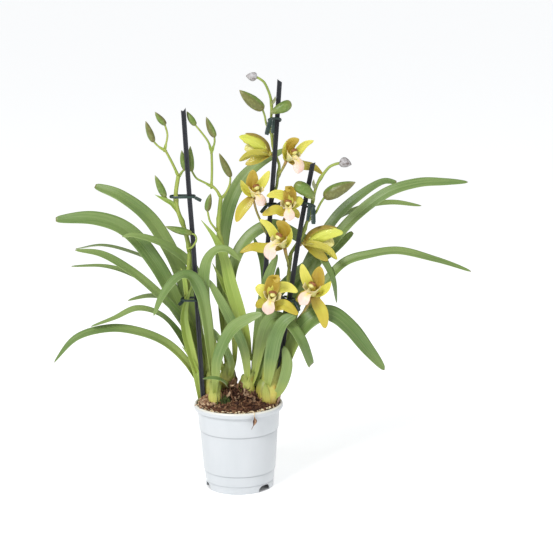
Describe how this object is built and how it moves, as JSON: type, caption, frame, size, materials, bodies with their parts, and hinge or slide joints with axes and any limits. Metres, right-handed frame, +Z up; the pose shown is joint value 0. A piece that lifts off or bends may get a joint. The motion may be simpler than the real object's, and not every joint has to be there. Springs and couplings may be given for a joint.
{
  "type": "potted miniature cymbidium orchid",
  "caption": "Miniature cymbidium orchid in a pale plastic grower pot, with arching leaves, yellow-green flower spikes and slate stakes with clips",
  "frame": {"origin": "middle of the pot's foot, on the surface it stands on", "axes": "+Z up along the pot's axis, +X to the right and -Y towards the side that the flowers face"},
  "size_m": [0.5516, 0.1565, 0.5546],
  "materials": {
    "pale_pot_plastic": "satin",
    "bark_and_peat": "matte",
    "slate_stake_plastic": "satin",
    "dark_green_clip_plastic": "satin",
    "leaf_green": "satin",
    "spike_green": "satin",
    "pseudobulb_green": "satin",
    "petal_yellow": "satin"
  },
  "bodies": {
    "root": {"grower_pot": "pale_pot_plastic", "potting_mix": "bark_and_peat", "left_stake": "slate_stake_plastic", "middle_stake": "slate_stake_plastic", "right_stake": "slate_stake_plastic", "left_top_clip": "dark_green_clip_plastic", "left_low_clip": "dark_green_clip_plastic", "middle_top_clip": "dark_green_clip_plastic", "middle_low_clip": "dark_green_clip_plastic", "right_top_clip": "dark_green_clip_plastic", "right_low_clip": "dark_green_clip_plastic", "left_spike": "spike_green", "second_spike": "spike_green", "middle_spike": "spike_green", "right_spike": "spike_green", "middle_flower_1": "petal_yellow", "middle_flower_2": "petal_yellow", "middle_flower_3": "petal_yellow", "middle_flower_4": "petal_yellow", "right_flower_1": "petal_yellow", "right_flower_2": "petal_yellow", "right_flower_3": "petal_yellow", "right_flower_4": "petal_yellow", "left_bulb": "pseudobulb_green", "back_left_bulb": "pseudobulb_green", "front_shoot": "pseudobulb_green", "middle_bulb": "pseudobulb_green", "centre_bulb": "pseudobulb_green", "right_bulb": "pseudobulb_green", "back_right_bulb": "pseudobulb_green", "left_leaf_1": "leaf_green", "left_leaf_2": "leaf_green", "left_leaf_3": "leaf_green", "left_leaf_4": "leaf_green", "left_leaf_5": "leaf_green", "left_leaf_6": "leaf_green", "left_leaf_7": "leaf_green", "left_leaf_8": "leaf_green", "left_leaf_9": "leaf_green", "front_leaf_1": "leaf_green", "front_leaf_2": "leaf_green", "front_leaf_3": "leaf_green", "front_leaf_4": "leaf_green", "front_leaf_5": "leaf_green", "centre_leaf_1": "leaf_green", "centre_leaf_2": "leaf_green", "centre_leaf_3": "leaf_green", "centre_leaf_4": "leaf_green", "centre_leaf_5": "leaf_green", "centre_leaf_6": "leaf_green", "centre_leaf_7": "leaf_green", "right_leaf_1": "leaf_green", "right_leaf_2": "leaf_green", "right_leaf_3": "leaf_green", "right_leaf_4": "leaf_green", "right_leaf_5": "leaf_green", "right_leaf_6": "leaf_green", "right_leaf_7": "leaf_green", "right_leaf_8": "leaf_green", "right_leaf_9": "leaf_green"}
  },
  "joints": []
}
